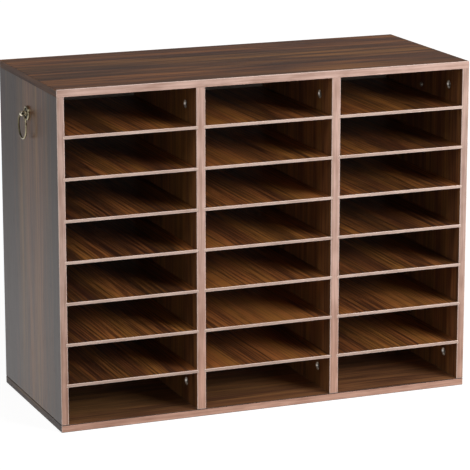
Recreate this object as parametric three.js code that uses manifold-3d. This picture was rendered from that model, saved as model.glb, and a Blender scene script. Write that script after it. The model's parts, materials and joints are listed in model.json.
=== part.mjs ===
// Pigeonhole mail sorter: a case of laminated boards, two partitions and thin shelves in open grooves.
// Millimetres, +Z up, open front towards -Y, origin at the middle of the base.
import * as THREE from 'three';
import { mergeVertices } from 'three/addons/utils/BufferGeometryUtils.js';
import Module from 'manifold-3d';

const wasm = await Module();
wasm.setup();

// Slots
const columnCount = 3;
const rowCount = 8;
const slotWidth = 218;
const slotHeight = 61.5;

// Boards
const caseDepth = 300;
const panelThickness = 12;
const sideThickness = 12;
const partitionThickness = 15;
const shelfThickness = 5;
const backThickness = 3;

// Grooves and joints between boards
const jointGap = 0.2;
const fitGap = 0.25;
const shelfGrooveDepth = 3;
const shelfClearance = 0.2;
const backInset = 6;
const backGrooveDepth = 5;
const blindFloor = 3;

// Cam fittings
const camDiameter = 14.5;
const camRecess = 0.3;
const camFloor = 2;
const camFromEnd = 34;
const camFromEdge = 50;
const camCrossLength = 8;
const camCrossWidth = 1.8;
const camCrossDepth = 2;
const boltDiameter = 6;
const boltThreadDiameter = 5;

// Dowels
const dowelDiameter = 6;
const dowelLength = 30;
const dowelChamfer = 1;

// Ring pulls
const handleAboveShelf = 11;
const ringRadius = 20.1;
const ringWire = 3.2;
const eyeStandOff = 9;
const eyeClearance = 0.15;
const ballDiameter = 9;
const neckDiameter = 6.8;
const collarDiameter = 9;
const collarHeight = 1;
const rosetteDiameter = 24;
const rosettePlateHeight = 1.8;
const rosetteRimHeight = 3.6;
const rosetteRimWidth = 3.4;
const rosetteBossHeight = 2.6;
const screwDiameter = 4;
const screwReach = 5.4;
const screwHeadDiameter = 8;
const screwHeadHeight = 2.4;
const screwHeadEdge = 1;
const screwCrossLength = 4.6;
const screwCrossWidth = 1;
const screwCrossDepth = 1.4;

// Facets of the round forms
const camSteps = 16;
const boltSteps = 8;
const ringSteps = 36;
const wireSteps = 8;
const turnedSteps = 20;
const ballSteps = 6;
const rimSteps = 5;

// Overall sizes that follow
const shelfPitch = slotHeight + shelfThickness;
const columnPitch = slotWidth + partitionThickness;
const innerWidth = columnCount * columnPitch - partitionThickness;
const innerHeight = rowCount * shelfPitch - shelfThickness;
const caseWidth = innerWidth + 2 * sideThickness;
const uprightHeight = innerHeight - 2 * jointGap;
const frontY = -caseDepth / 2;
const rearY = caseDepth / 2;
const backFrontY = rearY - backInset - backThickness;
const innerRearY = backFrontY - fitGap;
const blindDepth = panelThickness - blindFloor;
const dowelBore = dowelDiameter + 2 * fitGap;
const camPlaces = { front: frontY + camFromEdge, rear: rearY - camFromEdge };
const overcut = 1;

// Height of a shelf's underside above the base, with shelves counted from the bottom
function shelfHeight(level) {
  return panelThickness + level * shelfPitch - shelfThickness;
}

// Materials
function finish(color, roughness, metalness) {
  return new THREE.MeshStandardMaterial({ color, roughness, metalness });
}
const walnut = finish(0x5f4634, 0.45, 0);
const shelfWalnut = finish(0x5a3c24, 0.5, 0);
const hardboard = finish(0x6b4c33, 0.8, 0);
const beech = finish(0xc9a878, 0.75, 0);
const zinc = finish(0xcfcabd, 0.4, 1);
const antiqueBrass = finish(0x9a8450, 0.35, 1);
const steel = finish(0xb9b6ad, 0.35, 1);

// A closed geometry as a solid that can be joined and cut
function solidFrom(geometry) {
  const bare = geometry.clone();
  bare.deleteAttribute('normal');
  bare.deleteAttribute('uv');
  const merged = mergeVertices(bare);
  const corners = merged.index.array;
  const triangles = [];
  for (let i = 0; i < corners.length; i += 3) {
    const [a, b, c] = corners.slice(i, i + 3);
    if (a !== b && b !== c && c !== a) triangles.push(a, b, c);
  }
  const vertProperties = new Float32Array(merged.attributes.position.array);
  const triVerts = new Uint32Array(triangles);
  return new wasm.Manifold(new wasm.Mesh({ numProp: 3, vertProperties, triVerts }));
}

// A solid as a flat-shaded geometry
function geometryFrom(solid) {
  const mesh = solid.getMesh();
  const geometry = new THREE.BufferGeometry();
  geometry.setAttribute('position', new THREE.BufferAttribute(mesh.vertProperties, 3));
  geometry.setIndex(new THREE.BufferAttribute(mesh.triVerts, 1));
  const flat = geometry.toNonIndexed();
  flat.computeVertexNormals();
  return flat;
}

// A rectangular block between two opposite corners
function block(one, other) {
  const geometry = new THREE.BoxGeometry(...one.map((value, i) => Math.abs(other[i] - value)));
  geometry.translate(...one.map((value, i) => (value + other[i]) / 2));
  return solidFrom(geometry);
}

// A round bar along one axis, between two coordinates on that axis in either order, through a point
function bar(axis, diameter, [from, to], steps, point = [0, 0, 0]) {
  const geometry = new THREE.CylinderGeometry(diameter / 2, diameter / 2, Math.abs(to - from), steps);
  geometry.translate(0, (from + to) / 2, 0);
  if (axis === 'x') geometry.rotateZ(-Math.PI / 2);
  if (axis === 'z') geometry.rotateX(Math.PI / 2);
  geometry.translate(...point);
  return solidFrom(geometry);
}

// A form turned about the X axis, from a profile of [distance along X, radius]
function turnedAlongX(profile, steps) {
  const points = profile.map(([x, radius]) => new THREE.Vector2(radius, x));
  const geometry = new THREE.LatheGeometry(points, steps);
  geometry.rotateZ(-Math.PI / 2);
  return solidFrom(geometry);
}

// A cross recess for a driver, cut into a face that looks towards -X
function crossRecess(faceX, length, width, depth) {
  const upright = block([faceX - overcut, -width / 2, -length / 2], [faceX + depth, width / 2, length / 2]);
  const level = block([faceX - overcut, -length / 2, -width / 2], [faceX + depth, length / 2, width / 2]);
  return upright.add(level);
}

function piece(name, solid, material) {
  const mesh = new THREE.Mesh(geometryFrom(solid), material);
  mesh.name = name;
  return mesh;
}

// Uprights: two sides grooved on their inner faces, and partitions between the columns grooved on both
const sideX = (innerWidth + sideThickness) / 2;
const uprights = [
  { name: 'left_side', x: -sideX, thickness: sideThickness, grooved: [1], camFace: 1 },
  { name: 'right_side', x: sideX, thickness: sideThickness, grooved: [-1], camFace: -1 },
];
for (let i = 1; i < columnCount; i += 1) {
  const x = (i - columnCount / 2) * columnPitch;
  uprights.push({ name: `partition_${i}`, x, thickness: partitionThickness, grooved: [-1, 1], camFace: -1 });
}
const uprightBase = panelThickness + jointGap;
const handleHeight = shelfHeight(rowCount - 1) + shelfThickness + handleAboveShelf;

// A cut along one face of an upright, as deep as the groove and open past the face
function faceCut(thickness, face, depth, [y0, y1], [z0, z1]) {
  return block([face * (thickness / 2 - depth), y0, z0], [face * (thickness / 2 + overcut), y1, z1]);
}

function shelfGrooves(thickness, face) {
  const cuts = [];
  for (let level = 1; level < rowCount; level += 1) {
    const z0 = shelfHeight(level) - uprightBase - shelfClearance;
    const z1 = z0 + shelfThickness + 2 * shelfClearance;
    cuts.push(faceCut(thickness, face, shelfGrooveDepth, [frontY - overcut, backFrontY], [z0, z1]));
  }
  return cuts;
}

// The bores at one end of an upright: two cams with their bolts, and a dowel between them
function endBores(thickness, camFace, end) {
  const endZ = end === 'top' ? uprightHeight : 0;
  const inward = end === 'top' ? -1 : 1;
  const span = (depth) => [endZ - inward * overcut, endZ + inward * depth];
  const cuts = [];
  for (const y of Object.values(camPlaces)) {
    const camSpan = [camFace * (thickness / 2 + overcut), camFace * (camFloor - thickness / 2)];
    const camPoint = [0, y, endZ + inward * camFromEnd];
    cuts.push(bar('x', camDiameter + 2 * fitGap, camSpan, camSteps, camPoint));
    cuts.push(bar('z', boltDiameter + 2 * fitGap, span(camFromEnd), boltSteps, [0, y, 0]));
  }
  cuts.push(bar('z', dowelBore, span(dowelLength - blindDepth + fitGap), boltSteps));
  return cuts;
}

function makeUpright({ name, x, thickness, grooved, camFace }) {
  const isSide = grooved.length === 1;
  const boardRearY = isSide ? rearY : innerRearY;
  let board = block([-thickness / 2, frontY, 0], [thickness / 2, boardRearY, uprightHeight]);
  const cuts = [...endBores(thickness, camFace, 'top'), ...endBores(thickness, camFace, 'bottom')];
  for (const face of grooved) cuts.push(...shelfGrooves(thickness, face));
  if (isSide) {
    const backSpan = [backFrontY - fitGap, backFrontY + backThickness + fitGap];
    cuts.push(faceCut(thickness, grooved[0], backGrooveDepth, backSpan, [-overcut, uprightHeight + overcut]));
    const holeHalf = thickness / 2 + overcut;
    const holePoint = [0, 0, handleHeight - uprightBase];
    cuts.push(bar('x', screwDiameter + 2 * fitGap, [-holeHalf, holeHalf], boltSteps, holePoint));
  }
  for (const cut of cuts) board = board.subtract(cut);
  const mesh = piece(isSide ? `${name}_panel` : name, board, walnut);
  mesh.position.set(x, 0, uprightBase);
  return mesh;
}

// Top and bottom panels: one board, made with its inner face up at the height 0
function endPanel() {
  let board = block([-caseWidth / 2, frontY, -panelThickness], [caseWidth / 2, rearY, 0]);
  const grooveHalf = innerWidth / 2 + backGrooveDepth;
  const grooveLow = [-grooveHalf, backFrontY - fitGap, -backGrooveDepth];
  const grooveHigh = [grooveHalf, backFrontY + backThickness + fitGap, overcut];
  board = board.subtract(block(grooveLow, grooveHigh));
  const threadBore = boltThreadDiameter + 2 * fitGap;
  const boreSpan = [-blindDepth, overcut];
  for (const { x } of uprights) {
    for (const y of Object.values(camPlaces)) {
      board = board.subtract(bar('z', threadBore, boreSpan, boltSteps, [x, y, 0]));
    }
    board = board.subtract(bar('z', dowelBore, boreSpan, boltSteps, [x, 0, 0]));
  }
  return board;
}

function makeBack() {
  const halfWidth = innerWidth / 2 + backGrooveDepth - fitGap;
  const drop = backGrooveDepth - fitGap;
  const sheet = block([-halfWidth, 0, -drop], [halfWidth, backThickness, innerHeight + drop]);
  const mesh = piece('back_panel', sheet, hardboard);
  mesh.position.set(0, backFrontY, panelThickness);
  return mesh;
}

function makeCase() {
  const group = new THREE.Group();
  const bottom = piece('bottom_panel', endPanel(), walnut);
  bottom.position.z = panelThickness;
  const top = piece('top_panel', endPanel(), walnut);
  top.position.z = panelThickness + innerHeight;
  top.rotation.y = Math.PI;
  group.add(bottom, top, makeBack());
  for (const upright of uprights) group.add(makeUpright(upright));
  return group;
}

// Shelves: one for each level of each column, counted from the left and from the top down
function makeShelves() {
  const group = new THREE.Group();
  const halfWidth = slotWidth / 2 + shelfGrooveDepth - shelfClearance;
  for (let column = 1; column <= columnCount; column += 1) {
    for (let level = 1; level < rowCount; level += 1) {
      const board = block([-halfWidth, frontY, 0], [halfWidth, innerRearY, shelfThickness]);
      const mesh = piece(`column_${column}_shelf_${rowCount - level}`, board, shelfWalnut);
      mesh.position.set((column - (columnCount + 1) / 2) * columnPitch, 0, shelfHeight(level));
      group.add(mesh);
    }
  }
  return group;
}

// Cam fitting: drum with its face towards -X, and a bolt that runs up into the panel
function camFitting(thickness) {
  const faceX = -thickness / 2 + camRecess;
  const panelFace = camFromEnd + jointGap;
  const drum = bar('x', camDiameter, [faceX, thickness / 2 - camFloor - fitGap], camSteps);
  const shank = bar('z', boltDiameter, [0, panelFace - fitGap], boltSteps);
  const thread = bar('z', boltThreadDiameter, [0, panelFace + blindDepth - fitGap], boltSteps);
  const recess = crossRecess(faceX, camCrossLength, camCrossWidth, camCrossDepth);
  return drum.add(shank).add(thread).subtract(recess);
}

function makeDowel(name) {
  const half = dowelLength / 2 - fitGap;
  const radius = dowelDiameter / 2;
  const tip = radius - dowelChamfer;
  const profile = [
    [-half, 0],
    [-half, tip],
    [-half + dowelChamfer, radius],
    [half - dowelChamfer, radius],
    [half, tip],
    [half, 0],
  ];
  const mesh = piece(name, turnedAlongX(profile, boltSteps), beech);
  mesh.rotation.y = -Math.PI / 2;
  return mesh;
}

// The fittings of one upright's end, in a group whose origin is the middle of the panel's inner face
function endFittings({ name, thickness, camFace }, end) {
  const group = new THREE.Group();
  for (const [place, y] of Object.entries(camPlaces)) {
    const cam = piece(`${name}_${end}_${place}_cam`, camFitting(thickness), zinc);
    cam.position.set(0, y, end === 'top' ? -camFromEnd - jointGap : camFromEnd + jointGap);
    cam.rotation.set(end === 'top' ? 0 : Math.PI, 0, camFace > 0 ? Math.PI : 0);
    group.add(cam);
  }
  const dowel = makeDowel(`${name}_${end}_dowel`);
  const dowelMiddle = dowelLength / 2 - blindDepth;
  dowel.position.z = end === 'top' ? -dowelMiddle : dowelMiddle;
  group.add(dowel);
  return group;
}

function makeFittings() {
  const group = new THREE.Group();
  for (const upright of uprights) {
    for (const end of ['top', 'bottom']) {
      const fittings = endFittings(upright, end);
      fittings.position.set(upright.x, 0, end === 'top' ? panelThickness + innerHeight : panelThickness);
      group.add(fittings);
    }
  }
  return group;
}

// Ring pull: its X axis points out of the side, and its origin is on the side's outer face
const eyeSag = ringRadius - Math.sqrt(ringRadius ** 2 - (ballDiameter / 2) ** 2);
const eyeDiameter = ringWire + 2 * (eyeSag + eyeClearance);

// A rosette: a plate with a half-round rim, and a boss in the dished middle that carries the post
function rosette() {
  const outer = rosetteDiameter / 2;
  const hole = neckDiameter / 2 + fitGap;
  const rimMiddle = outer - rosetteRimWidth / 2;
  const rimRise = rosetteRimHeight - rosettePlateHeight;
  const profile = [
    [fitGap, hole],
    [fitGap, outer],
  ];
  for (let i = 0; i <= rimSteps; i += 1) {
    const angle = (i / rimSteps) * Math.PI;
    const radius = rimMiddle + (rosetteRimWidth / 2) * Math.cos(angle);
    profile.push([rosettePlateHeight + rimRise * Math.sin(angle), radius]);
  }
  profile.push([rosetteBossHeight, collarDiameter / 2 + fitGap], [rosetteBossHeight, hole], [fitGap, hole]);
  return turnedAlongX(profile, turnedSteps);
}

// The post: a drilled spigot through the rosette, a collar on its boss, a neck and a ball with the eye
function post() {
  const neck = neckDiameter / 2;
  const ball = ballDiameter / 2;
  const drilled = screwDiameter / 2 + fitGap;
  const drillEnd = screwReach + fitGap;
  const collarFoot = rosetteBossHeight + fitGap;
  const profile = [
    [drillEnd, 0],
    [drillEnd, drilled],
    [fitGap, drilled],
    [fitGap, neck],
    [collarFoot, neck],
    [collarFoot, collarDiameter / 2],
    [collarFoot + collarHeight, collarDiameter / 2],
    [collarFoot + collarHeight, neck],
  ];
  const startAngle = Math.asin(neck / ball);
  for (let i = 0; i <= ballSteps; i += 1) {
    const angle = THREE.MathUtils.lerp(startAngle, Math.PI, i / ballSteps);
    const radius = i === ballSteps ? 0 : ball * Math.sin(angle);
    profile.push([eyeStandOff - ball * Math.cos(angle), radius]);
  }
  const eye = bar('y', eyeDiameter, [-ballDiameter, ballDiameter], turnedSteps, [eyeStandOff, 0, 0]);
  return turnedAlongX(profile, turnedSteps).subtract(eye);
}

function ring() {
  const geometry = new THREE.TorusGeometry(ringRadius, ringWire / 2, wireSteps, ringSteps);
  geometry.rotateY(Math.PI / 2);
  geometry.translate(0, 0, -ringRadius);
  return solidFrom(geometry);
}

// The screw: a domed head inside the case and a shank through the side into the post
function screw() {
  const head = screwHeadDiameter / 2;
  const shank = screwDiameter / 2;
  const seat = -sideThickness - fitGap;
  const crown = seat - screwHeadHeight;
  const profile = [
    [crown, 0],
    [crown, head / 2],
    [seat - screwHeadEdge, head],
    [seat, head],
    [seat, shank],
    [screwReach, shank],
    [screwReach, 0],
  ];
  const recess = crossRecess(crown, screwCrossLength, screwCrossWidth, screwCrossDepth);
  return turnedAlongX(profile, turnedSteps).subtract(recess);
}

function makeHandle(side) {
  const group = new THREE.Group();
  const hangingRing = piece(`${side}_handle_ring`, ring(), antiqueBrass);
  hangingRing.position.x = eyeStandOff;
  group.add(piece(`${side}_handle_rosette`, rosette(), antiqueBrass));
  group.add(piece(`${side}_handle_post`, post(), antiqueBrass));
  group.add(piece(`${side}_handle_screw`, screw(), steel));
  group.add(hangingRing);
  const outward = side === 'right' ? 1 : -1;
  group.position.set((outward * caseWidth) / 2, 0, handleHeight);
  group.rotation.z = side === 'right' ? 0 : Math.PI;
  return group;
}

const sorter = new THREE.Group();
sorter.add(makeCase(), makeShelves(), makeFittings(), makeHandle('left'), makeHandle('right'));

export default sorter;
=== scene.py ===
# %% [markdown]
# A pigeonhole mail sorter: a case of walnut laminated boards, two partitions, and thin shelves that slide in
# open grooves. The solids come ready made and in place, so this lesson dresses them: it gives each board its
# printed grain and its edge banding, and turns the small metal fittings again with round surfaces.
# The box of the bare solids is kept first, because the dressed sorter has to stay inside it.

# %% Frame
import json
import math

import bmesh
import bpy
from mathutils import Matrix, Vector

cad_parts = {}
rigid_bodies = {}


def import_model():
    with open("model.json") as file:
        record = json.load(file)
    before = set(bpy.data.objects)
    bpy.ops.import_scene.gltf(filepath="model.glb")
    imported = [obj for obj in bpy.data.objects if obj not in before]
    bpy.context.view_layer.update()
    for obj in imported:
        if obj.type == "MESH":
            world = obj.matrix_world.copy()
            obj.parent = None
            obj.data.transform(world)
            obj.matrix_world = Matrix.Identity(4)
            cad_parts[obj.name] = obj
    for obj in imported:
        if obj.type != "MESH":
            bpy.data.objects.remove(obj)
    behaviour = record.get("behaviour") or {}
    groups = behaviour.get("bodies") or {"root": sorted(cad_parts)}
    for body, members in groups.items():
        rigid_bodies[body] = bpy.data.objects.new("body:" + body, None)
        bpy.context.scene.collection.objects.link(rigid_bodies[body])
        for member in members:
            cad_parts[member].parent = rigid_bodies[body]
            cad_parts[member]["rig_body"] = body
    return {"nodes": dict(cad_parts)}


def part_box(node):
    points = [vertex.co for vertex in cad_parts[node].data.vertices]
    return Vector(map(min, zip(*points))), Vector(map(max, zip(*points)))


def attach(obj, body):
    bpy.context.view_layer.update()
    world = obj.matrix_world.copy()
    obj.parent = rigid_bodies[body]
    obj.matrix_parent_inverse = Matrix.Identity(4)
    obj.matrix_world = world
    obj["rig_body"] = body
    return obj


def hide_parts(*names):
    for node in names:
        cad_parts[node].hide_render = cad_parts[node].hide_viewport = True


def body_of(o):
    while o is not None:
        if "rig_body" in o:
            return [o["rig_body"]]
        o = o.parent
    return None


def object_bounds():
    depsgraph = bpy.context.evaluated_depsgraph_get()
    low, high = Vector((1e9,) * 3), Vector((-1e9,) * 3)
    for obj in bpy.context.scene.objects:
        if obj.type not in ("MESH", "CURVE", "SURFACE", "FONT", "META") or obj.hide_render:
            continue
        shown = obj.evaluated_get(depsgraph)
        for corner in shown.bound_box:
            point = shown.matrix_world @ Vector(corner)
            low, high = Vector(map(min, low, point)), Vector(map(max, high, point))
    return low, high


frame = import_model()
cad_low, cad_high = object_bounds()
middle = (cad_low + cad_high) / 2
print("solids:", len(frame["nodes"]), "box:", [round(side, 4) for side in cad_high - cad_low])

# %% [markdown]
# The sorter is seen from the left of its front and a little above, from far off with a long lens, so that the
# case looks almost square. A camera's own axes are right, up and backwards, so turning a short vector in those
# axes by the camera's rotation gives its place: a small aim to the side, and the distance straight back.

# %% Camera
CAMERA_AZIMUTH = math.radians(-21.93)
CAMERA_ELEVATION = math.radians(13.52)
CAMERA_AIM_RIGHT = 0.0015
CAMERA_AIM_UP = -0.0178
CAMERA_DISTANCE = 4.265
CAMERA_LENS = 196.8

level = math.cos(CAMERA_ELEVATION)
backwards = Vector((
    math.sin(CAMERA_AZIMUTH) * level,
    -math.cos(CAMERA_AZIMUTH) * level,
    math.sin(CAMERA_ELEVATION),
))
camera_turn = (-backwards).to_track_quat("-Z", "Y")
camera = bpy.data.objects.new("camera", bpy.data.cameras.new("camera"))
camera.data.lens = CAMERA_LENS
camera.rotation_mode = "QUATERNION"
camera.rotation_quaternion = camera_turn
camera.location = middle + camera_turn @ Vector((CAMERA_AIM_RIGHT, CAMERA_AIM_UP, CAMERA_DISTANCE))

scene = bpy.context.scene
scene.collection.objects.link(camera)
scene.camera = camera
scene.view_settings.view_transform = "Standard"
print("camera at", [round(value, 3) for value in camera.location])

# %% [markdown]
# Every finish below is a small tree of shader nodes. Wiring nodes by hand takes a line for each link, so one
# class wraps a socket instead: ordinary arithmetic on it adds Math nodes, and one method adds any other node.
# Settings are set before sockets, because a setting such as a data type decides which sockets a node has.


# %% Sockets as values
class Socket:
    """One output in a node tree. Operators on it add Math nodes to the same tree."""

    def __init__(self, tree, output=None):
        self.tree = tree
        self.output = output

    def node(self, kind, settings=None, inputs=None, give=0):
        """Adds a node: settings first, then values or links on its sockets, and gives one output back."""
        made = self.tree.nodes.new(kind)
        for name, value in (settings or {}).items():
            if name == "stops":
                set_stops(made.color_ramp, value)
            else:
                setattr(made, name, value)
        for name, value in (inputs or {}).items():
            if isinstance(value, Socket):
                self.tree.links.new(value.output, made.inputs[name])
            else:
                made.inputs[name].default_value = value
        return Socket(self.tree, made.outputs[give] if made.outputs else None)

    def maths(self, operation, first, second):
        return self.node("ShaderNodeMath", {"operation": operation}, {0: first, 1: second})

    def __add__(self, other):
        return self.maths("ADD", self, other)

    def __radd__(self, other):
        return self.maths("ADD", other, self)

    def __sub__(self, other):
        return self.maths("SUBTRACT", self, other)

    def __rsub__(self, other):
        return self.maths("SUBTRACT", other, self)

    def __mul__(self, other):
        return self.maths("MULTIPLY", self, other)

    def __rmul__(self, other):
        return self.maths("MULTIPLY", other, self)

    def step(self, low, high):
        """0 below low, 1 above high, with a soft step between them."""
        settings = {"interpolation_type": "SMOOTHSTEP"}
        return self.node("ShaderNodeMapRange", settings, {"Value": self, "From Min": low, "From Max": high})

    def tint(self, low, high, blend="MIX"):
        """The colour low where this value is 0, and where it is 1 the colour high, blended over low."""
        settings = {"data_type": "RGBA", "blend_type": blend}
        return self.node("ShaderNodeMix", settings, {0: self, 6: low, 7: high}, give=2)


def set_stops(ramp, stops):
    """Gives a colour ramp its stops, each a place from 0 to 1 and a colour."""
    while len(ramp.elements) < len(stops):
        ramp.elements.new(1.0)
    for element, (place, colour) in zip(ramp.elements, stops):
        element.position = place
        element.color = colour


def grey(value):
    return (value, value, value, 1.0)


print("socket operators ready")

# %% [markdown]
# The sorter stands on a plain white floor in a soft studio. The floor is painted, so that it takes the shadow,
# and it also glows for the camera, for glossy rays and for clear ones, which makes the background white
# without any more light on the boards. For the camera the glow is a little weaker round the sorter, where the
# lamps add their own light. Mirrored in the boards it fades with distance instead, as in a room. The sky is
# pale where it meets the floor and in front of the sorter, which brings a little light to the backs of the
# slots. Above and behind it is dim, so the top of the case mirrors a quiet ceiling.

# %% Floor and sky
FLOOR_RADIUS = 60.0
FLOOR_DROP = 0.0002
FLOOR_SIDES = 64
FLOOR_PAINT = 0.3
FLOOR_GLOW = 0.9
MIRRORED_NEAR, MIRRORED_FAR = 0.89, 0.52
GLOW_NEAR, GLOW_FAR = 0.7, 2.6
SKY_HORIZON = 0.6
SKY_LOW = 0.11
SKY_HIGH = 0.2
FRONT_GLOW = 0.65

floor_shape = bmesh.new()
bmesh.ops.create_circle(floor_shape, cap_ends=True, radius=FLOOR_RADIUS, segments=FLOOR_SIDES)
bmesh.ops.translate(floor_shape, verts=floor_shape.verts, vec=(0, 0, cad_low.z - FLOOR_DROP))
floor = bpy.data.objects.new("floor", bpy.data.meshes.new("floor"))
floor_shape.to_mesh(floor.data)
floor_shape.free()
scene.collection.objects.link(floor)

floor_finish = bpy.data.materials.new("floor_white")
floor_finish.use_nodes = True
floor_finish.node_tree.nodes.clear()
start = Socket(floor_finish.node_tree)
seen = start.node("ShaderNodeLightPath", give="Is Camera Ray")
seen += start.node("ShaderNodeLightPath", give="Is Transmission Ray")
mirrored = start.node("ShaderNodeLightPath", give="Is Glossy Ray")
place = start.node("ShaderNodeTexCoord", give="Object")
away = start.node("ShaderNodeVectorMath", {"operation": "LENGTH"}, {0: place}, give="Value")
distance = away.step(GLOW_NEAR, GLOW_FAR)
strength = seen.step(0, 1) * (FLOOR_GLOW + (1 - FLOOR_GLOW) * distance)
strength += mirrored * (MIRRORED_NEAR + (MIRRORED_FAR - MIRRORED_NEAR) * distance)
paint = start.node("ShaderNodeBsdfDiffuse", inputs={"Color": grey(FLOOR_PAINT)})
glow = start.node("ShaderNodeEmission", inputs={"Strength": strength})
both = start.node("ShaderNodeAddShader", inputs={0: paint, 1: glow})
start.node("ShaderNodeOutputMaterial", inputs={"Surface": both})
floor.data.materials.append(floor_finish)

sky = bpy.data.worlds.new("studio")
sky.use_nodes = True
sky.node_tree.nodes.clear()
start = Socket(sky.node_tree)
direction = start.node("ShaderNodeTexCoord", give="Generated")
height = start.node("ShaderNodeSeparateXYZ", inputs={"Vector": direction}, give="Z")
behind = start.node("ShaderNodeSeparateXYZ", inputs={"Vector": direction}, give="Y")
sky_stops = [
    (0.02, grey(SKY_HORIZON)),
    (0.12, grey(SKY_LOW)),
    (1.0, grey(SKY_HIGH)),
]
shade = start.node("ShaderNodeValToRGB", {"stops": sky_stops}, {"Fac": height})
shade += FRONT_GLOW * (0 - behind).step(0.1, 0.8) * (1 - height.step(0.05, 0.45))
seen = start.node("ShaderNodeLightPath", give="Is Camera Ray")
shade = seen + (1 - seen) * shade
glow = start.node("ShaderNodeBackground", inputs={"Color": grey(1), "Strength": shade})
start.node("ShaderNodeOutputWorld", inputs={"Surface": glow})
scene.world = sky
print("floor radius", FLOOR_RADIUS, "m")

# %% [markdown]
# A soft lamp at the right does most of the work. It stands near and not much higher than the case, so it reaches
# far into each slot, lights the lower shelves at a steeper angle than the upper ones, and lets the partitions
# throw a slanting shadow. A weaker lamp high at the left only opens the shadows on faces that look that way.

# %% Lamps
KEY_PLACE = Vector((1.71, -2.27, 1.23))
KEY_WIDTH = 1.6
KEY_HEIGHT = 0.95
KEY_POWER = 66.0
FILL_PLACE = Vector((-1.25, -1.88, 2.81))
FILL_WIDTH = 1.26
FILL_HEIGHT = 1.89
FILL_POWER = 21.0


def soft_lamp(name, place, width, height, power):
    lamp = bpy.data.objects.new(name, bpy.data.lights.new(name, "AREA"))
    lamp.data.shape = "RECTANGLE"
    lamp.data.size = width
    lamp.data.size_y = height
    lamp.data.energy = power
    lamp.location = place
    lamp.rotation_mode = "QUATERNION"
    lamp.rotation_quaternion = (middle - place).to_track_quat("-Z", "Y")
    scene.collection.objects.link(lamp)
    return lamp


lamps = [
    soft_lamp("key_lamp", KEY_PLACE, KEY_WIDTH, KEY_HEIGHT, KEY_POWER),
    soft_lamp("fill_lamp", FILL_PLACE, FILL_WIDTH, FILL_HEIGHT, FILL_POWER),
]
print("lamps:", [lamp.name for lamp in lamps])

# %% [markdown]
# Walnut laminate is printed paper under a thin clear film. Its figure runs along one axis of each board: broad
# bands of lighter and darker wood, streaks and dark lines in them, hairs, and short pores. Each layer is a
# noise that is stretched along the grain. A slow noise first bends the coordinates, so that no line is ruled.
# The pattern reads object coordinates, so every board in the case shows another part of the same tree. Shelves
# are cut from a sheet with a finer figure, and some of them from a paler part of it. The ends of the top and
# bottom boards carry a darker, duller strip.

# %% Walnut laminate
ALONG_X, ALONG_Y, ALONG_Z = range(3)
GRAIN_BEND = 0.016
BOARD_SCALES = ((16.0, 2.4), (60.0, 4.0), (190.0, 7.0))
BOARD_SHARES = (0.22, 0.34, 0.26)
CALM_SHARES = (0.12, 0.17, 0.18)
SIDE_SCALES = ((7.5, 0.5), (20.0, 1.3), (110.0, 5.0))
SIDE_SHARES = (0.56, 0.36, 0.18)
SHELF_SCALES = ((15.0, 0.7), (70.0, 1.5), (480.0, 4.0))
SHELF_SHARES = (0.48, 0.07, 0.58)
HAIR_SCALE = 620.0
PORE_SCALE = 1300.0
WALNUT_DARK = (0.065, 0.027, 0.013, 1)
WALNUT_MID = (0.163, 0.064, 0.020, 1)
WALNUT_PALE = (0.44, 0.18, 0.044, 1)
WALNUT_GLOSS = 0.28
END_GLOSS = 0.45
FILM_IOR = 1.29
SHELF_LIFTS = (-0.13, 0.03, 0.11)
FLOOR_LIFT = 0.36
PARTITION_LIFT = 0.325
SIDE_LIFT = -0.27
TOP_LIFT = 0.04
TOP_END_LIFT, BOTTOM_END_LIFT = 0.0, -0.08
PLAIN = (1, 1, 1, 1)
# A wash that tints a board bluer and greyer.
COOL_GREY_WASH = (0.90, 1.11, 1.54, 1)
SHADED = (0.98, 1.14, 1.35, 1)
GREYED = (0.82, 1.36, 2.2, 1)


def new_finish(name):
    """A material with an empty node tree, and a socket at its object coordinates."""
    finish = bpy.data.materials.new(name)
    finish.use_nodes = True
    finish.node_tree.nodes.clear()
    return finish, Socket(finish.node_tree).node("ShaderNodeTexCoord", give="Object")


def close_finish(place, inputs, height=None, bump=0.0, relief=0.0):
    """Ends a finish with its shader, and with a bump where a height is given."""
    if height is not None:
        bumps = {"Strength": bump, "Distance": relief, "Height": height}
        inputs = {**inputs, "Normal": place.node("ShaderNodeBump", inputs=bumps)}
    shader = place.node("ShaderNodeBsdfPrincipled", inputs=inputs)
    place.node("ShaderNodeOutputMaterial", inputs={"Surface": shader})


def stretched(place, grain, across, along):
    """Coordinates scaled by one number across the grain and by a smaller one along it."""
    scale = [across] * 3
    scale[grain] = along
    return place.node("ShaderNodeMapping", inputs={"Vector": place, "Scale": scale})


def noise(place, detail=2.0):
    return place.node("ShaderNodeTexNoise", inputs={"Vector": place, "Scale": 1.0, "Detail": detail})


def bent(place, grain, across, along, amount):
    """Coordinates pushed aside by a slow noise, so that the grain wanders."""
    slow = stretched(place, grain, across, along)
    push = place.node("ShaderNodeTexNoise", inputs={"Vector": slow, "Scale": 1.0, "Detail": 1.0}, give="Color")
    inputs = {0: push, 1: (amount, amount, amount), 2: place}
    return place.node("ShaderNodeVectorMath", {"operation": "MULTIPLY_ADD"}, inputs)


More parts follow.
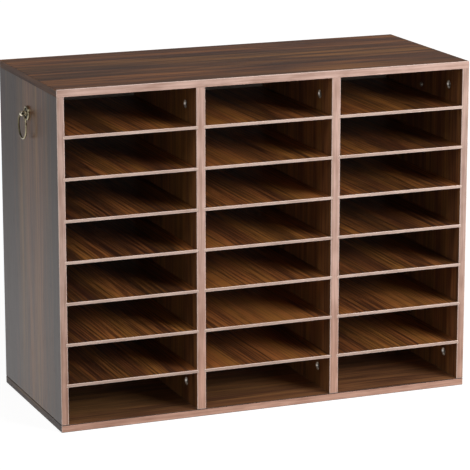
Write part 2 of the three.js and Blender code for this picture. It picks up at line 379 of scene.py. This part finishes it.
def walnut(name, grain, scales, shares, lift=0.0, gloss=WALNUT_GLOSS, wash=PLAIN):
    """Printed walnut. lift moves the sheet towards its paler or its darker wood, and wash tints all of it."""
    finish, place = new_finish(name)
    wandering = bent(place, grain, 9.0, 2.2, GRAIN_BEND)
    bands = noise(stretched(wandering, grain, *scales[0]), 1.0).step(0.36, 0.64)
    streaks = noise(stretched(wandering, grain, *scales[1]), 1.0).step(0.36, 0.64)
    lines = noise(stretched(wandering, grain, *scales[2]), 1.0).step(0.40, 0.58)
    hairs = noise(stretched(wandering, grain, HAIR_SCALE, 7.0), 2.0).step(0.3, 0.7)
    pores = noise(stretched(wandering, grain, PORE_SCALE, 45.0), 1.0).step(0.6, 0.72)
    tone = lift + bands * shares[0] + streaks * shares[1] + lines * shares[2] + hairs * 0.12 - pores * 0.1
    stops = [(0.1, WALNUT_DARK), (0.5, WALNUT_MID), (0.95, WALNUT_PALE)]
    figure = place.node("ShaderNodeValToRGB", {"stops": stops}, {"Fac": tone})
    redness = noise(stretched(wandering, grain, 26.0, 1.2), 1.0).step(0.35, 0.65)
    colour = redness.tint(figure, (1.04, 0.92, 1.1, 1), "MULTIPLY")
    washes = {"data_type": "RGBA", "blend_type": "MULTIPLY"}
    colour = place.node("ShaderNodeMix", washes, {0: 1.0, 6: colour, 7: wash}, give=2)
    roughness = gloss + hairs * 0.05 + pores * 0.12
    inputs = {"Base Color": colour, "Roughness": roughness, "IOR": FILM_IOR}
    close_finish(place, inputs, hairs * 0.4 - pores, 0.12, 0.0002)
    return finish


board_sheet = (BOARD_SCALES, BOARD_SHARES)
calm_sheet = (BOARD_SCALES, CALM_SHARES)
walnut_top = walnut("walnut_top", ALONG_X, *board_sheet, TOP_LIFT)
walnut_bottom = walnut("walnut_bottom", ALONG_X, *calm_sheet, FLOOR_LIFT, wash=COOL_GREY_WASH)
walnut_side = walnut("walnut_side", ALONG_Z, SIDE_SCALES, SIDE_SHARES, SIDE_LIFT, wash=COOL_GREY_WASH)
walnut_partition = walnut("walnut_partition", ALONG_Z, *calm_sheet, PARTITION_LIFT, wash=SHADED)
top_end = walnut("walnut_top_end", ALONG_Y, *board_sheet, TOP_END_LIFT, END_GLOSS, SHADED)
bottom_end = walnut("walnut_bottom_end", ALONG_Y, *board_sheet, BOTTOM_END_LIFT, END_GLOSS, GREYED)
shelf_sheets = [
    walnut(f"walnut_shelf_{number}", ALONG_Y, SHELF_SCALES, SHELF_SHARES, lift)
    for number, lift in enumerate(SHELF_LIFTS)
]
walnuts = [walnut_top, walnut_bottom, walnut_side, walnut_partition, top_end, bottom_end, *shelf_sheets]
print("walnut finishes:", [finish.name for finish in walnuts])

# %% [markdown]
# The front edges are closed with a strip of banding that is much paler and pinker than the boards, printed with
# fine streaks along its length. Low down it is painted browner and darker, as painted shade where less lamp
# light reaches, and the shelves have a creamier strip. Where the banding is trimmed its corners are scraped to a
# still paler line, which also stands in as a painted highlight on the rounded edge. In the grooves and bores the
# board's own core shows: pressed chips in a dull tan, except on the bottom board's eased corners, which are
# painted near black as painted shade in its joints and along the floor.

# %% Edge banding and board core
BAND_PALE = (0.68, 0.45, 0.37, 1)
BAND_DEEP = (0.37, 0.21, 0.155, 1)
BAND_LOW_SHADE = (0.94, 0.82, 0.735, 1)
SIDE_BAND_PALE = (0.59, 0.395, 0.325, 1)
SIDE_BAND_DEEP = (0.30, 0.172, 0.128, 1)
LOW_SHADE_UP_TO = 0.3
CREAM_PALE = (0.68, 0.50, 0.415, 1)
CREAM_DEEP = (0.41, 0.27, 0.21, 1)
CREAM_LOW_SHADE = (0.84, 0.82, 0.80, 1)
BAND_SCRAPED_HIGHLIGHT = (0.80, 0.66, 0.58, 1)
CORE_PALE = (0.42, 0.30, 0.18, 1)
CORE_DARK = (0.20, 0.13, 0.075, 1)
# Painted shade: near-black chips for the bottom board's eased corners, in its joints and along the floor.
JOINT_SHADE_PALE = (0.035, 0.022, 0.017, 1)
JOINT_SHADE_DARK = (0.015, 0.010, 0.008, 1)


def edge_band(name, grain, pale, deep, brown):
    """A strip of banding. brown is the colour that it is multiplied by at the floor, as painted shade low down.
    """
    finish, place = new_finish(name)
    wandering = bent(place, grain, 30.0, 9.0, 0.004)
    veins = noise(stretched(wandering, grain, 260.0, 9.0), 2.0).step(0.34, 0.66)
    hairs = noise(stretched(wandering, grain, 900.0, 30.0), 2.0).step(0.35, 0.65)
    patches = noise(stretched(place, grain, 40.0, 24.0), 2.0).step(0.34, 0.66)
    tone = veins * 0.45 + hairs * 0.25 + patches * 0.3
    height = place.node("ShaderNodeSeparateXYZ", inputs={"Vector": place}, give="Z")
    # Painted shade: the banding is multiplied towards its darker, browner low colour near the floor.
    colour = height.step(0.0, LOW_SHADE_UP_TO).tint(brown, (1, 1, 1, 1))
    colour = place.node(
        "ShaderNodeMix", {"data_type": "RGBA", "blend_type": "MULTIPLY"},
        {0: 1.0, 6: tone.tint(deep, pale), 7: colour}, give=2,
    )
    close_finish(place, {"Base Color": colour, "Roughness": 0.42 + hairs * 0.1}, hairs, 0.1, 0.0001)
    return finish


# The banding's eased corners: a scraped trim, painted paler still as a painted highlight on the rounded edge.
def scraped_highlight_band():
    finish, place = new_finish("band_scraped_highlight")
    nicks = noise(stretched(place, ALONG_X, 900.0, 700.0), 2.0).step(0.3, 0.8)
    colour = nicks.tint(BAND_SCRAPED_HIGHLIGHT, BAND_PALE)
    close_finish(place, {"Base Color": colour, "Roughness": 0.4 + nicks * 0.15}, nicks, 0.1, 0.0001)
    return finish


def board_core(name, dark, pale):
    finish, place = new_finish(name)
    chips = noise(stretched(place, ALONG_Y, 420.0, 420.0), 3.0).step(0.3, 0.7)
    colour = chips.tint(dark, pale)
    close_finish(place, {"Base Color": colour, "Roughness": 0.8 + chips * 0.1}, chips, 0.4, 0.0003)
    return finish


panel_band = edge_band("panel_band", ALONG_X, BAND_PALE, BAND_DEEP, BAND_LOW_SHADE)
partition_band = edge_band("partition_band", ALONG_Z, BAND_PALE, BAND_DEEP, BAND_LOW_SHADE)
side_band = edge_band("side_band", ALONG_Z, SIDE_BAND_PALE, SIDE_BAND_DEEP, BAND_LOW_SHADE)
shelf_band = edge_band("shelf_band", ALONG_X, CREAM_PALE, CREAM_DEEP, CREAM_LOW_SHADE)
band_corner_highlight = scraped_highlight_band()
core = board_core("board_core", CORE_DARK, CORE_PALE)
stain_and_shade = board_core("joint_shade_corner", JOINT_SHADE_DARK, JOINT_SHADE_PALE)
bands = [panel_band, partition_band, side_band, shelf_band]
print("edges:", [finish.name for finish in (*bands, band_corner_highlight, core, stain_and_shade)])

# %% [markdown]
# A board starts as a copy of its solid. The copy is loose triangles, so its corners are merged and its flat
# faces joined again. Its long edges are eased with a small bevel, as a trimmer leaves them, except where the
# board is butted to another one. A cut just behind the front marks off the banding. A face then gets its finish
# by where it lies: banding at the front, laminate outside, and core wherever a groove or a bore opens it.

# %% Boards
MERGE = 1e-6
FLAT_ANGLE = math.radians(1)
EDGE_ROUND = 0.0008
BAND_THICKNESS = 0.001
NEAR = 1e-5
SQUARE = 0.999
LAMINATE, BAND, SCRAPED_HIGHLIGHT, CORE, END, JOINT_SHADE = range(6)
LOW, HIGH = range(2)


def merged_copy(node):
    shape = bmesh.new()
    shape.from_mesh(frame["nodes"][node].data)
    bmesh.ops.remove_doubles(shape, verts=shape.verts, dist=MERGE)
    bmesh.ops.dissolve_limit(shape, angle_limit=FLAT_ANGLE, verts=shape.verts, edges=shape.edges)
    return shape


def is_outer_edge(edge, low, high, butted):
    """An edge where two of the six sides of the board's box meet, and not at a butted height."""
    place = (edge.verts[0].co + edge.verts[1].co) / 2
    sides = sum(min(place[axis] - low[axis], high[axis] - place[axis]) < NEAR for axis in range(3))
    return sides == 2 and all(abs(place.z - height) > NEAR for height in butted)


def make_piece(shape, node, suffix, finishes, smooth_angle=None):
    """Turns a finished shape into an object that stands for a node and rides on its body."""
    name = f"{node}_{suffix}"
    used = max(face.material_index for face in shape.faces) + 1
    mesh = bpy.data.meshes.new(name)
    shape.to_mesh(mesh)
    shape.free()
    for finish in finishes[:used]:
        mesh.materials.append(finish)
    if smooth_angle is not None:
        mesh.polygons.foreach_set("use_smooth", [True] * len(mesh.polygons))
        mesh.set_sharp_from_angle(angle=smooth_angle)
    piece = bpy.data.objects.new(name, mesh)
    scene.collection.objects.link(piece)
    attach(piece, body_of(frame["nodes"][node])[0])
    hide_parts(node)
    return piece


def board(node, laminate, band, by_side, end=core, butted=(), corner=SCRAPED_HIGHLIGHT):
    """A laminated board with banding in front. by_side gives the finish of faces at a low or a high side,
    and corner that of its eased upper and lower corners in front."""
    low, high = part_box(node)
    shape = merged_copy(node)
    edges = [edge for edge in shape.edges if is_outer_edge(edge, low, high, butted)]
    bmesh.ops.bevel(shape, geom=edges, offset=EDGE_ROUND, segments=2, profile=0.5, affect="EDGES", material=-1)
    everything = [*shape.verts, *shape.edges, *shape.faces]
    cut = (0, low.y + BAND_THICKNESS, 0)
    bmesh.ops.bisect_plane(shape, geom=everything, plane_co=cut, plane_no=(0, 1, 0))
    for face in shape.faces:
        face.material_index = board_finish(face, low, high, by_side, corner)
    finishes = [laminate, band, band_corner_highlight, core, end, stain_and_shade]
    return make_piece(shape, node, "board", finishes)


def board_finish(face, low, high, by_side, corner):
    place = face.calc_center_median()
    # The bottom board's eased corners are painted near black, as painted shade in its joints and along the
    # floor.
    if corner == JOINT_SHADE and 0.1 < abs(face.normal.z) < SQUARE:
        return JOINT_SHADE
    if place.y < low.y + BAND_THICKNESS:
        return BAND if abs(face.normal.y) > SQUARE else SCRAPED_HIGHLIGHT
    for axis in (ALONG_Z, ALONG_Y, ALONG_X):
        for side, depth in ((LOW, place[axis] - low[axis]), (HIGH, high[axis] - place[axis])):
            if depth < EDGE_ROUND:
                return by_side.get((axis, side), LAMINATE)
    return CORE


under_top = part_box("top_panel")[0].z
short_ends = {(ALONG_X, LOW): END, (ALONG_X, HIGH): END}
panels = [
    board("top_panel", walnut_top, panel_band, short_ends, top_end, [under_top]),
    board("bottom_panel", walnut_bottom, panel_band, short_ends, bottom_end, corner=JOINT_SHADE),
]
sawn_ends = {(ALONG_Z, LOW): CORE, (ALONG_Z, HIGH): CORE}
outer_faces = {"left_side_panel": {(ALONG_X, LOW): END}, "right_side_panel": {(ALONG_X, HIGH): END}}
for node in ("left_side_panel", "right_side_panel", "partition_1", "partition_2"):
    by_side = {**sawn_ends, **outer_faces.get(node, {})}
    upper_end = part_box(node)[1].z
    band = side_band if node in outer_faces else partition_band
    panels.append(board(node, walnut_partition, band, by_side, walnut_side, [upper_end]))
sawn_sides = {(ALONG_X, LOW): CORE, (ALONG_X, HIGH): CORE}
shelves = []
for node in sorted(node for node in frame["nodes"] if "_shelf_" in node):
    low_right = node.endswith(("_6", "_7")) and not node.startswith("column_1")
    laminate = shelf_sheets[node.startswith("column_2") + low_right]
    shelves.append(board(node, laminate, shelf_band, sawn_sides))
print("boards:", len(panels), "shelves:", len(shelves))

# %% [markdown]
# The back is a thin sheet of hardboard in grooves. Inside the slots it is faced with plain brown paper, and
# outside it shows its own pressed brown fibres. Both are the same recipe in other colours: soft clouds, fine
# fibres and a few flecks. One sheet then needs two finishes, picked by the way that a face looks.

# %% Back
FIBRE = ((0.12, 0.070, 0.036, 1), (0.22, 0.135, 0.072, 1))
PAPER = ((0.27, 0.225, 0.195, 1), (0.40, 0.34, 0.30, 1))
FACED, BARE = range(2)


def pressed_sheet(name, dark, pale):
    finish, place = new_finish(name)
    clouds = noise(stretched(place, ALONG_X, 26.0, 26.0), 2.0).step(0.25, 0.75)
    fibres = noise(stretched(place, ALONG_X, 1500.0, 260.0), 3.0).step(0.3, 0.7)
    flecks = noise(stretched(place, ALONG_Z, 900.0, 300.0), 1.0).step(0.62, 0.72)
    tone = clouds * 0.45 + fibres * 0.45 - flecks * 0.3
    colour = tone.tint(dark, pale)
    close_finish(place, {"Base Color": colour, "Roughness": 0.72 + fibres * 0.15}, fibres, 0.25, 0.0002)
    return finish


back_shape = merged_copy("back_panel")
for face in back_shape.faces:
    face.material_index = BARE if face.normal.y > SQUARE else FACED
back_finishes = [pressed_sheet("brown_paper", *PAPER), pressed_sheet("pressed_fibre", *FIBRE)]
back = make_piece(back_shape, "back_panel", "sheet", back_finishes)
print("back:", [round(side, 4) for side in back.dimensions])

# %% [markdown]
# The metal fittings are turned parts, so most of them are one profile spun round an axis. A profile here is a
# short list of points, each a distance along the axis and a radius. The full spin closes on itself with
# use_merge, points on the axis are merged into poles, and open ends are filled with one flat face.
# A screwdriver cross could be cut with a boolean, but splitting the flat face along the cross and pushing those
# faces in leaves cleaner walls.

# %% Turned shapes
TURN_SIDES = 48
ROUND_ANGLE = math.radians(35)


def spin_round(shape, line):
    """Spins a line of vertices and edges once round the X axis, and closes what it leaves open."""
    turn = {"cent": (0, 0, 0), "axis": (1, 0, 0), "angle": math.tau, "steps": TURN_SIDES}
    bmesh.ops.spin(shape, geom=line, use_merge=True, **turn)
    bmesh.ops.remove_doubles(shape, verts=shape.verts, dist=MERGE)
    bmesh.ops.holes_fill(shape, edges=shape.edges, sides=0)
    bmesh.ops.recalc_face_normals(shape, faces=shape.faces)


def turned(profile):
    """A shape from points (along, radius), spun round the X axis."""
    shape = bmesh.new()
    points = [shape.verts.new((along, radius, 0)) for along, radius in profile]
    edges = [shape.edges.new(pair) for pair in zip(points, points[1:])]
    spin_round(shape, points + edges)
    return shape


def thread(start, end, crest, root, turns):
    """Points for the ridges of a screw thread, each turn drawn as a ring."""
    step = (end - start) / (2 * turns)
    return [(start + step * place, crest if place % 2 else root) for place in range(2 * turns + 1)]


def ease(shape, along, radius, offset, segments):
    """Rounds the circular edge at one place along the X axis and one radius."""
    ring = {v for v in shape.verts if math.hypot(v.co.x - along, v.co.yz.length - radius) < NEAR}
    edges = [edge for edge in shape.edges if ring.issuperset(edge.verts)]
    bmesh.ops.bevel(
        shape, geom=edges, offset=offset, segments=segments, profile=0.5, affect="EDGES", material=-1
    )


def sink_cross(shape, along, length, width, depth):
    """Pushes a cross into the flat round face that looks along -X at one place along the axis."""
    faces = [face for face in shape.faces if abs(face.calc_center_median().x - along) < NEAR]
    disc = max(faces, key=lambda face: face.calc_area())
    bmesh.ops.inset_region(shape, faces=[disc], thickness=width / 8)
    cut = [disc, *disc.edges, *disc.verts]
    for side in (Vector((0, 1, 0)), Vector((0, 0, 1))):
        for place in (-length / 2, -width / 2, width / 2, length / 2):
            cut = bmesh.ops.bisect_plane(shape, geom=cut, plane_co=side * place, plane_no=side)["geom"]
    cross = [part for part in cut if isinstance(part, bmesh.types.BMFace) and in_cross(part, length, width)]
    edges = {edge for face in cross for edge in face.edges}
    sunk = bmesh.ops.extrude_face_region(shape, geom=[*cross, *edges])["geom"]
    corners = [part for part in sunk if isinstance(part, bmesh.types.BMVert)]
    bmesh.ops.translate(shape, verts=corners, vec=(depth, 0, 0))


def in_cross(face, length, width):
    place = face.calc_center_median()
    across, up = abs(place.y), abs(place.z)
    return min(across, up) < width / 2 and max(across, up) < length / 2


def join(shape, other):
    """Adds another shape to this one."""
    carrier = bpy.data.meshes.new("carrier")
    other.to_mesh(carrier)
    other.free()
    shape.from_mesh(carrier)
    bpy.data.meshes.remove(carrier)


print("turned parts have", TURN_SIDES, "sides")

# %% [markdown]
# Cam fittings hold the uprights to the top and the bottom: a die-cast drum in a round bore, dished, with a cross
# for a screwdriver, and a bolt that runs from it into the panel. Drum and bolt are turned about two axes, so the
# bolt is made along X as well and then stood up. Each cam is built facing left with its bolt upwards, and turned
# to the way that its node lies. Cast zinc is a pale metal with a fine grain and a few darker stains. The bottom
# of the dish and its cross are the same metal painted dark, as painted shade in the recess, so the dish has a
# finish of its own.

# %% Cam fittings
CAM_RADIUS = 0.00725
CAM_EASE = 0.0005
CAM_DISH = (0.0028, 0.0052, 0.0062)
CAM_CROSS = (0.008, 0.0018, 0.001)
BOLT_RADIUS = 0.003
BOLT_CREST, BOLT_ROOT = 0.0025, 0.002
BOLT_THREAD = 0.0087
BOLT_INSET = 0.000975
ZINC_RIM = ((0.86, 0.82, 0.75, 1), (0.58, 0.55, 0.49, 1), 0.28)
ZINC_RECESS_SHADE = ((0.17, 0.16, 0.145, 1), (0.09, 0.085, 0.075, 1), 0.45)


def cast_zinc(name, clean, stain_and_shade, roughness):
    finish, place = new_finish(name)
    grain = noise(stretched(place, ALONG_X, 1600.0, 1600.0), 3.0).step(0.3, 0.7)
    stains = noise(stretched(place, ALONG_X, 260.0, 260.0), 2.0).step(0.5, 0.75)
    colour = stains.tint(clean, stain_and_shade)
    inputs = {"Base Color": colour, "Metallic": 0.8, "Roughness": roughness + grain * 0.12}
    close_finish(place, inputs, grain, 0.2, 0.00008)
    return finish


def cam(node, finishes):
    low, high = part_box(node)
    length = high.x - low.x
    reach = high.z - low.z - CAM_RADIUS
    depth, floor_radius, rim_radius = CAM_DISH
    shape = turned([(depth, floor_radius), (0, rim_radius), (0, CAM_RADIUS), (length, CAM_RADIUS)])
    ease(shape, 0, CAM_RADIUS, CAM_EASE, 3)
    sink_cross(shape, depth, *CAM_CROSS)
    # Painted shade: the dish floor and its cross take the dark recess finish.
    for face in shape.faces:
        place = face.calc_center_median()
        face.material_index = int(place.x > depth - NEAR and place.yz.length < floor_radius)
    ridges = thread(reach - BOLT_THREAD, reach, BOLT_CREST, BOLT_ROOT, 7)
    bolt = turned([(0, BOLT_RADIUS), (reach - BOLT_THREAD - NEAR, BOLT_RADIUS), *ridges])
    bmesh.ops.rotate(bolt, verts=bolt.verts, matrix=Matrix.Rotation(-math.pi / 2, 3, "Y"))
    bmesh.ops.translate(bolt, verts=bolt.verts, vec=(length / 2 + BOLT_INSET, 0, 0))
    join(shape, bolt)
    upwards, to_right = "_top_" in node, node.startswith("left_side")
    if not upwards:
        bmesh.ops.rotate(shape, verts=shape.verts, matrix=Matrix.Rotation(math.pi, 3, "X"))
    if to_right:
        bmesh.ops.rotate(shape, verts=shape.verts, matrix=Matrix.Rotation(math.pi, 3, "Z"))
    height = low.z + CAM_RADIUS if upwards else high.z - CAM_RADIUS
    face = (high.x if to_right else low.x, (low.y + high.y) / 2, height)
    bmesh.ops.translate(shape, verts=shape.verts, vec=face)
    return make_piece(shape, node, "drum", finishes, ROUND_ANGLE)


zinc_finishes = [cast_zinc("zinc_rim", *ZINC_RIM), cast_zinc("zinc_recess_shade", *ZINC_RECESS_SHADE)]
cams = [cam(node, zinc_finishes) for node in sorted(frame["nodes"]) if node.endswith("_cam")]
print("cams:", len(cams), "faces in one:", len(cams[0].data.polygons))

# %% [markdown]
# A beech dowel sits between the cams in each joint. Its plain chamfered solid is already right, so the node
# stays and only gets a finish: pale wood with its grain along the pin and small dark flecks.

# %% Dowels
BEECH_PALE = (0.62, 0.44, 0.27, 1)
BEECH_DARK = (0.44, 0.28, 0.15, 1)


def beech():
    finish, place = new_finish("beech")
    rings = noise(stretched(place, ALONG_Z, 500.0, 20.0), 2.0).step(0.3, 0.7)
    flecks = noise(stretched(place, ALONG_Z, 1900.0, 260.0), 1.0).step(0.6, 0.7)
    colour = (rings * 0.7 - flecks * 0.4).tint(BEECH_PALE, BEECH_DARK)
    close_finish(place, {"Base Color": colour, "Roughness": 0.6 + rings * 0.15}, rings, 0.2, 0.0001)
    return finish


dowel_wood = beech()
dowels = [frame["nodes"][node] for node in frame["nodes"] if node.endswith("_dowel")]
for dowel in dowels:
    for place in dowel.material_slots:
        place.material = dowel_wood
print("dowels:", len(dowels))

# %% [markdown]
# A ring pull hangs on each side. Its metal is brass that was darkened and then rubbed bright again on the parts
# that stand proud, so it needs three finishes: worn brass, a dark one for the sunken middle of the rosette, and
# a bright one for the ball, which hands touch most. They are the same recipe with other colours: a cloudy
# tarnish, and painted shade that darkens each part towards the back, away from the lamps. Both also dull the
# shine.

# %% Brass
WORN_BRASS = ((0.40, 0.345, 0.225, 1), (0.15, 0.125, 0.075, 1), 0.16)
DARK_BRASS = ((0.05, 0.042, 0.03, 1), (0.015, 0.013, 0.01, 1), 0.3)
BALL_BRASS = ((0.86, 0.78, 0.62, 1), (0.50, 0.43, 0.30, 1), 0.3)
BACK_SHADE_FULL, BACK_SHADE_START = 0.014, -0.004


def brass(name, clean, tarnished_and_shaded, roughness):
    finish, place = new_finish(name)
    clouds = noise(stretched(place, ALONG_X, 420.0, 420.0), 3.0).step(0.42, 0.72)
    scuffs = noise(stretched(place, ALONG_Z, 3200.0, 700.0), 2.0).step(0.4, 0.7)
    depth = place.node("ShaderNodeSeparateXYZ", inputs={"Vector": place}, give="Y")
    # Painted shade: the tarnished colour also grows towards the back of each part, away from the lamps.
    tarnish_and_shade = (clouds * 0.5 + scuffs * 0.2 + depth.step(BACK_SHADE_START, BACK_SHADE_FULL) * 0.8).step(0, 1)
    colour = tarnish_and_shade.tint(clean, tarnished_and_shaded)
    inputs = {"Base Color": colour, "Metallic": 1.0, "Roughness": roughness + tarnish_and_shade * 0.2}
    close_finish(place, inputs, scuffs, 0.08, 0.00005)
    return finish


brass_finishes = [
    brass("worn_brass", *WORN_BRASS),
    brass("dark_brass", *DARK_BRASS),
    brass("ball_brass", *BALL_BRASS),
]
print("brass:", [finish.name for finish in brass_finishes])

# %% [markdown]
# Each pull is made lying along X, as it stands out of the right-hand side, and then turned for the left. The
# rosette is a turned plate whose square rim is bevelled half-round. The post's ball is a vertex spun through
# an arc, and that line is spun again round the post. A boolean drills its eye, because a cross hole through a
# ball is what a spin can't give. The drill is wider at both ends, so the eye's rim is countersunk.

# %% Ring pulls
FIT = 0.00025
NECK, COLLAR, BALL = 0.0034, 0.0045, 0.0045
COLLAR_FOOT, COLLAR_TOP = 0.00285, 0.00385
EYE_OUT = 0.009
EYE_WALL = 0.0026
EYE_DRILL = [(-0.006, 0.0029), (-0.0036, 0.00226), (0.0036, 0.00226), (0.006, 0.0029)]
ROSETTE, ROSETTE_RIM, ROSETTE_HOLE = 0.012, 0.0034, 0.00365
PLATE_TOP, BOSS_TOP, RIM_TOP = 0.0018, 0.0026, 0.0036
RING_RADIUS, RING_WIRE = 0.0201, 0.0016
RING_STEPS = 96
WORN, DARK, BRIGHT = range(3)


def rosette():
    dish = ROSETTE - ROSETTE_RIM
    shape = turned([
        (FIT, ROSETTE_HOLE),
        (FIT, ROSETTE),
        (RIM_TOP, ROSETTE),
        (RIM_TOP, dish),
        (PLATE_TOP, dish),
        (BOSS_TOP, COLLAR + FIT),
        (BOSS_TOP, ROSETTE_HOLE),
        (FIT, ROSETTE_HOLE),
    ])
    ease(shape, RIM_TOP, ROSETTE, ROSETTE_RIM * 0.49, 6)
    ease(shape, RIM_TOP, dish, ROSETTE_RIM * 0.49, 6)
    for face in shape.faces:
        place = face.calc_center_median()
        face.material_index = DARK if place.yz.length < dish + NEAR else WORN
    return shape


def post():
    shape = bmesh.new()
    start = math.asin(NECK / BALL)
    profile = [
        (FIT, NECK),
        (COLLAR_FOOT, NECK),
        (COLLAR_FOOT, COLLAR),
        (COLLAR_TOP, COLLAR),
        (COLLAR_TOP, NECK),
        (EYE_OUT - BALL * math.cos(start), NECK),
    ]
    line = [shape.verts.new((along, radius, 0)) for along, radius in profile]
    edges = [shape.edges.new(pair) for pair in zip(line, line[1:])]
    arc = {"cent": (EYE_OUT, 0, 0), "axis": (0, 0, 1), "angle": start - math.pi, "steps": 16}
    bmesh.ops.spin(shape, geom=[line[-1]], **arc)
    spin_round(shape, [*shape.verts, *shape.edges])
    ease(shape, COLLAR_TOP, COLLAR, 0.0003, 3)
    drill = turned(EYE_DRILL)
    bmesh.ops.rotate(drill, verts=drill.verts, matrix=Matrix.Rotation(math.pi / 2, 3, "Z"))
    bmesh.ops.translate(drill, verts=drill.verts, vec=(EYE_OUT, 0, 0))
    shape = drilled(shape, drill)
    for face in shape.faces:
        place = face.calc_center_median()
        in_eye = math.hypot(place.x - EYE_OUT, place.z) < EYE_WALL
        face.material_index = DARK if in_eye else BRIGHT if place.x > COLLAR_TOP + NEAR else WORN
    return shape


def drilled(shape, drill):
    """A shape with another one cut out of it by a boolean modifier."""
    meshes = [bpy.data.meshes.new("drilled"), bpy.data.meshes.new("drill")]
    pair = [bpy.data.objects.new(mesh.name, mesh) for mesh in meshes]
    for mesh, part, obj in zip(meshes, (shape, drill), pair):
        part.to_mesh(mesh)
        part.free()
        scene.collection.objects.link(obj)
    cut = pair[0].modifiers.new("eye", "BOOLEAN")
    cut.object = pair[1]
    result = bmesh.new()
    result.from_object(pair[0], bpy.context.evaluated_depsgraph_get())
    for mesh in meshes:
        bpy.data.meshes.remove(mesh)
    return result


def ring():
    shape = bmesh.new()
    bmesh.ops.create_circle(shape, radius=RING_WIRE, segments=16)
    bmesh.ops.rotate(shape, verts=shape.verts, matrix=Matrix.Rotation(math.pi / 2, 3, "X"))
    bmesh.ops.translate(shape, verts=shape.verts, vec=(EYE_OUT, 0, 0))
    section = [*shape.verts, *shape.edges]
    turn = {"cent": (0, 0, -RING_RADIUS), "axis": (1, 0, 0), "angle": math.tau, "steps": RING_STEPS}
    bmesh.ops.spin(shape, geom=section, use_merge=True, **turn)
    bmesh.ops.recalc_face_normals(shape, faces=shape.faces)
    return shape


def hang(shape, side, kind, finishes):
    """Puts a part of a pull on its side of the case."""
    low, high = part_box(f"{side}_side_panel")
    outer = high.x if side == "right" else low.x
    if side == "left":
        bmesh.ops.rotate(shape, verts=shape.verts, matrix=Matrix.Rotation(math.pi, 3, "Z"))
    low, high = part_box(f"{side}_handle_rosette")
    bmesh.ops.translate(shape, verts=shape.verts, vec=(outer, (low.y + high.y) / 2, (low.z + high.z) / 2))
    return make_piece(shape, f"{side}_handle_{kind}", "turned", finishes, ROUND_ANGLE)


pulls = []
for side in ("left", "right"):
    for kind, make in (("rosette", rosette), ("post", post), ("ring", ring)):
        pulls.append(hang(make(), side, kind, brass_finishes))
print("ring pulls:", {pull.name: len(pull.data.polygons) for pull in pulls})

# %% [markdown]
# A screw inside the case holds each post. Its head is a turned disc with a rounded crown and a cross, and its
# shank carries a thread that ends in the post. Plated steel is bright, with fine turning marks and a little
# dullness in patches.

# %% Screws
SCREW_SEAT = -0.01225
SCREW_HEAD, SCREW_HEIGHT = 0.004, 0.0024
SCREW_CREST, SCREW_ROOT = 0.002, 0.0016
SCREW_END = 0.0054
SCREW_CROSS = (0.0046, 0.001, 0.0014)
STEEL_BRIGHT = (0.66, 0.64, 0.60, 1)
STEEL_DULL = (0.42, 0.41, 0.39, 1)


def plated_steel():
    finish, place = new_finish("plated_steel")
    marks = noise(stretched(place, ALONG_X, 2600.0, 500.0), 2.0).step(0.3, 0.7)
    patches = noise(stretched(place, ALONG_X, 300.0, 300.0), 2.0).step(0.4, 0.7)
    colour = patches.tint(STEEL_BRIGHT, STEEL_DULL)
    inputs = {"Base Color": colour, "Metallic": 0.8, "Roughness": 0.28 + marks * 0.12}
    close_finish(place, inputs, marks, 0.1, 0.00005)
    return finish


def screw():
    crown = SCREW_SEAT - SCREW_HEIGHT
    ridges = thread(SCREW_SEAT, SCREW_END, SCREW_CREST, SCREW_ROOT, 14)
    shape = turned([(crown, SCREW_HEAD), (SCREW_SEAT, SCREW_HEAD), *ridges])
    ease(shape, crown, SCREW_HEAD, 0.0014, 6)
    sink_cross(shape, crown, *SCREW_CROSS)
    return shape


steel = plated_steel()
screws = [hang(screw(), side, "screw", [steel]) for side in ("left", "right")]
print("screws:", [piece.name for piece in screws])
